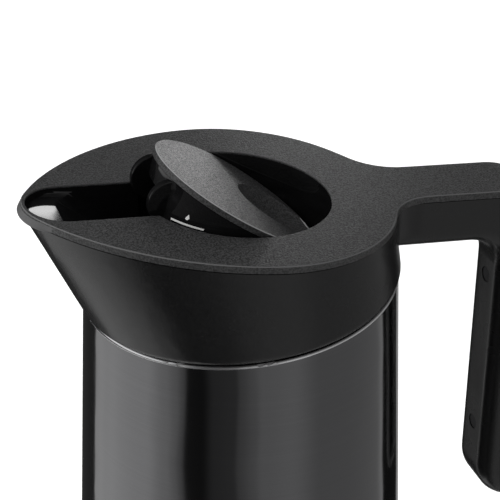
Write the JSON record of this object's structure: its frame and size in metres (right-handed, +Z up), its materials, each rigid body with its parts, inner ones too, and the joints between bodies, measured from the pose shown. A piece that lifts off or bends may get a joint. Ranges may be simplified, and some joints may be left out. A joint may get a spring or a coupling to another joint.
{
  "type": "thermal carafe",
  "caption": "Double-walled carafe with a conical steel jacket, slanted collar with pouring spout, cantilever handle and a round rocker that opens the stopper's valve.",
  "frame": {"origin": "middle of the flat underside of the rubber foot, where the carafe stands", "axes": "+Z up, -X towards the spout, +X towards the handle, +Y to the side"},
  "size_m": [0.2023, 0.1296, 0.2417],
  "materials": {
    "white_print": "white pad print on the rocker, made with the looks",
    "jacket_steel": "dark tinted steel, satin, glossy clear coat",
    "soft_black": "black, soft touch",
    "grained_charcoal": "charcoal, fine spark-eroded grain",
    "gloss_black": "black, polished",
    "flask_steel": "plain steel, satin",
    "screw_steel": "plain steel",
    "foil": "bright foil",
    "base_plastic": "black, fine texture",
    "stopper_plastic": "dark grey, fine texture",
    "silicone": "grey, matte",
    "foot_rubber": "black, matte"
  },
  "bodies": {
    "carafe": {"outer_jacket": "jacket_steel", "collar": "soft_black", "top_plate": "grained_charcoal", "pour_channel": "gloss_black", "flask_outer_wall": "flask_steel", "flask_inner_wall": "flask_steel", "flask_bottom": "flask_steel", "getter": "screw_steel", "vacuum_plug": "screw_steel", "radiation_foil": "foil", "flask_stud": "screw_steel", "support_ring": "silicone", "base_cap": "base_plastic", "base_screw": "screw_steel", "foot_pad": "foot_rubber", "shoulder_ring": "silicone", "neck_nut": "stopper_plastic", "neck_gasket": "silicone", "collar_screws": "screw_steel", "handle_screws": "screw_steel"},
    "stopper": {"stopper_housing": "stopper_plastic", "stopper_gasket": "silicone", "stopper_cage": "stopper_plastic", "pivot_pins": "screw_steel", "valve_spring": "screw_steel"},
    "rocker": {"rocker_cap": "grained_charcoal", "rocker_body": "gloss_black"},
    "valve": {"valve_stem": "stopper_plastic", "valve_seal": "silicone", "valve_button": "stopper_plastic"}
  },
  "joints": [
    {"name": "stopper_lift", "type": "slide", "parent": "carafe", "child": "stopper", "axis": [0, 0, 1], "range_m": [0, 0.075]},
    {"name": "rocker_tilt", "type": "hinge", "parent": "stopper", "child": "rocker", "pos_m": [-0.00141, 0, 0.22087], "axis": [0, 1, 0], "range_deg": [-26.7, 0]},
    {"name": "valve_travel", "type": "slide", "parent": "stopper", "child": "valve", "axis": [0, 0, 1], "range_m": [0, 0.0069], "deforming": ["valve_spring"]}
  ],
  "couplings": [
    {"joint": "valve_travel", "follows": "rocker_tilt", "m_per_rad": -0.0148}
  ]
}
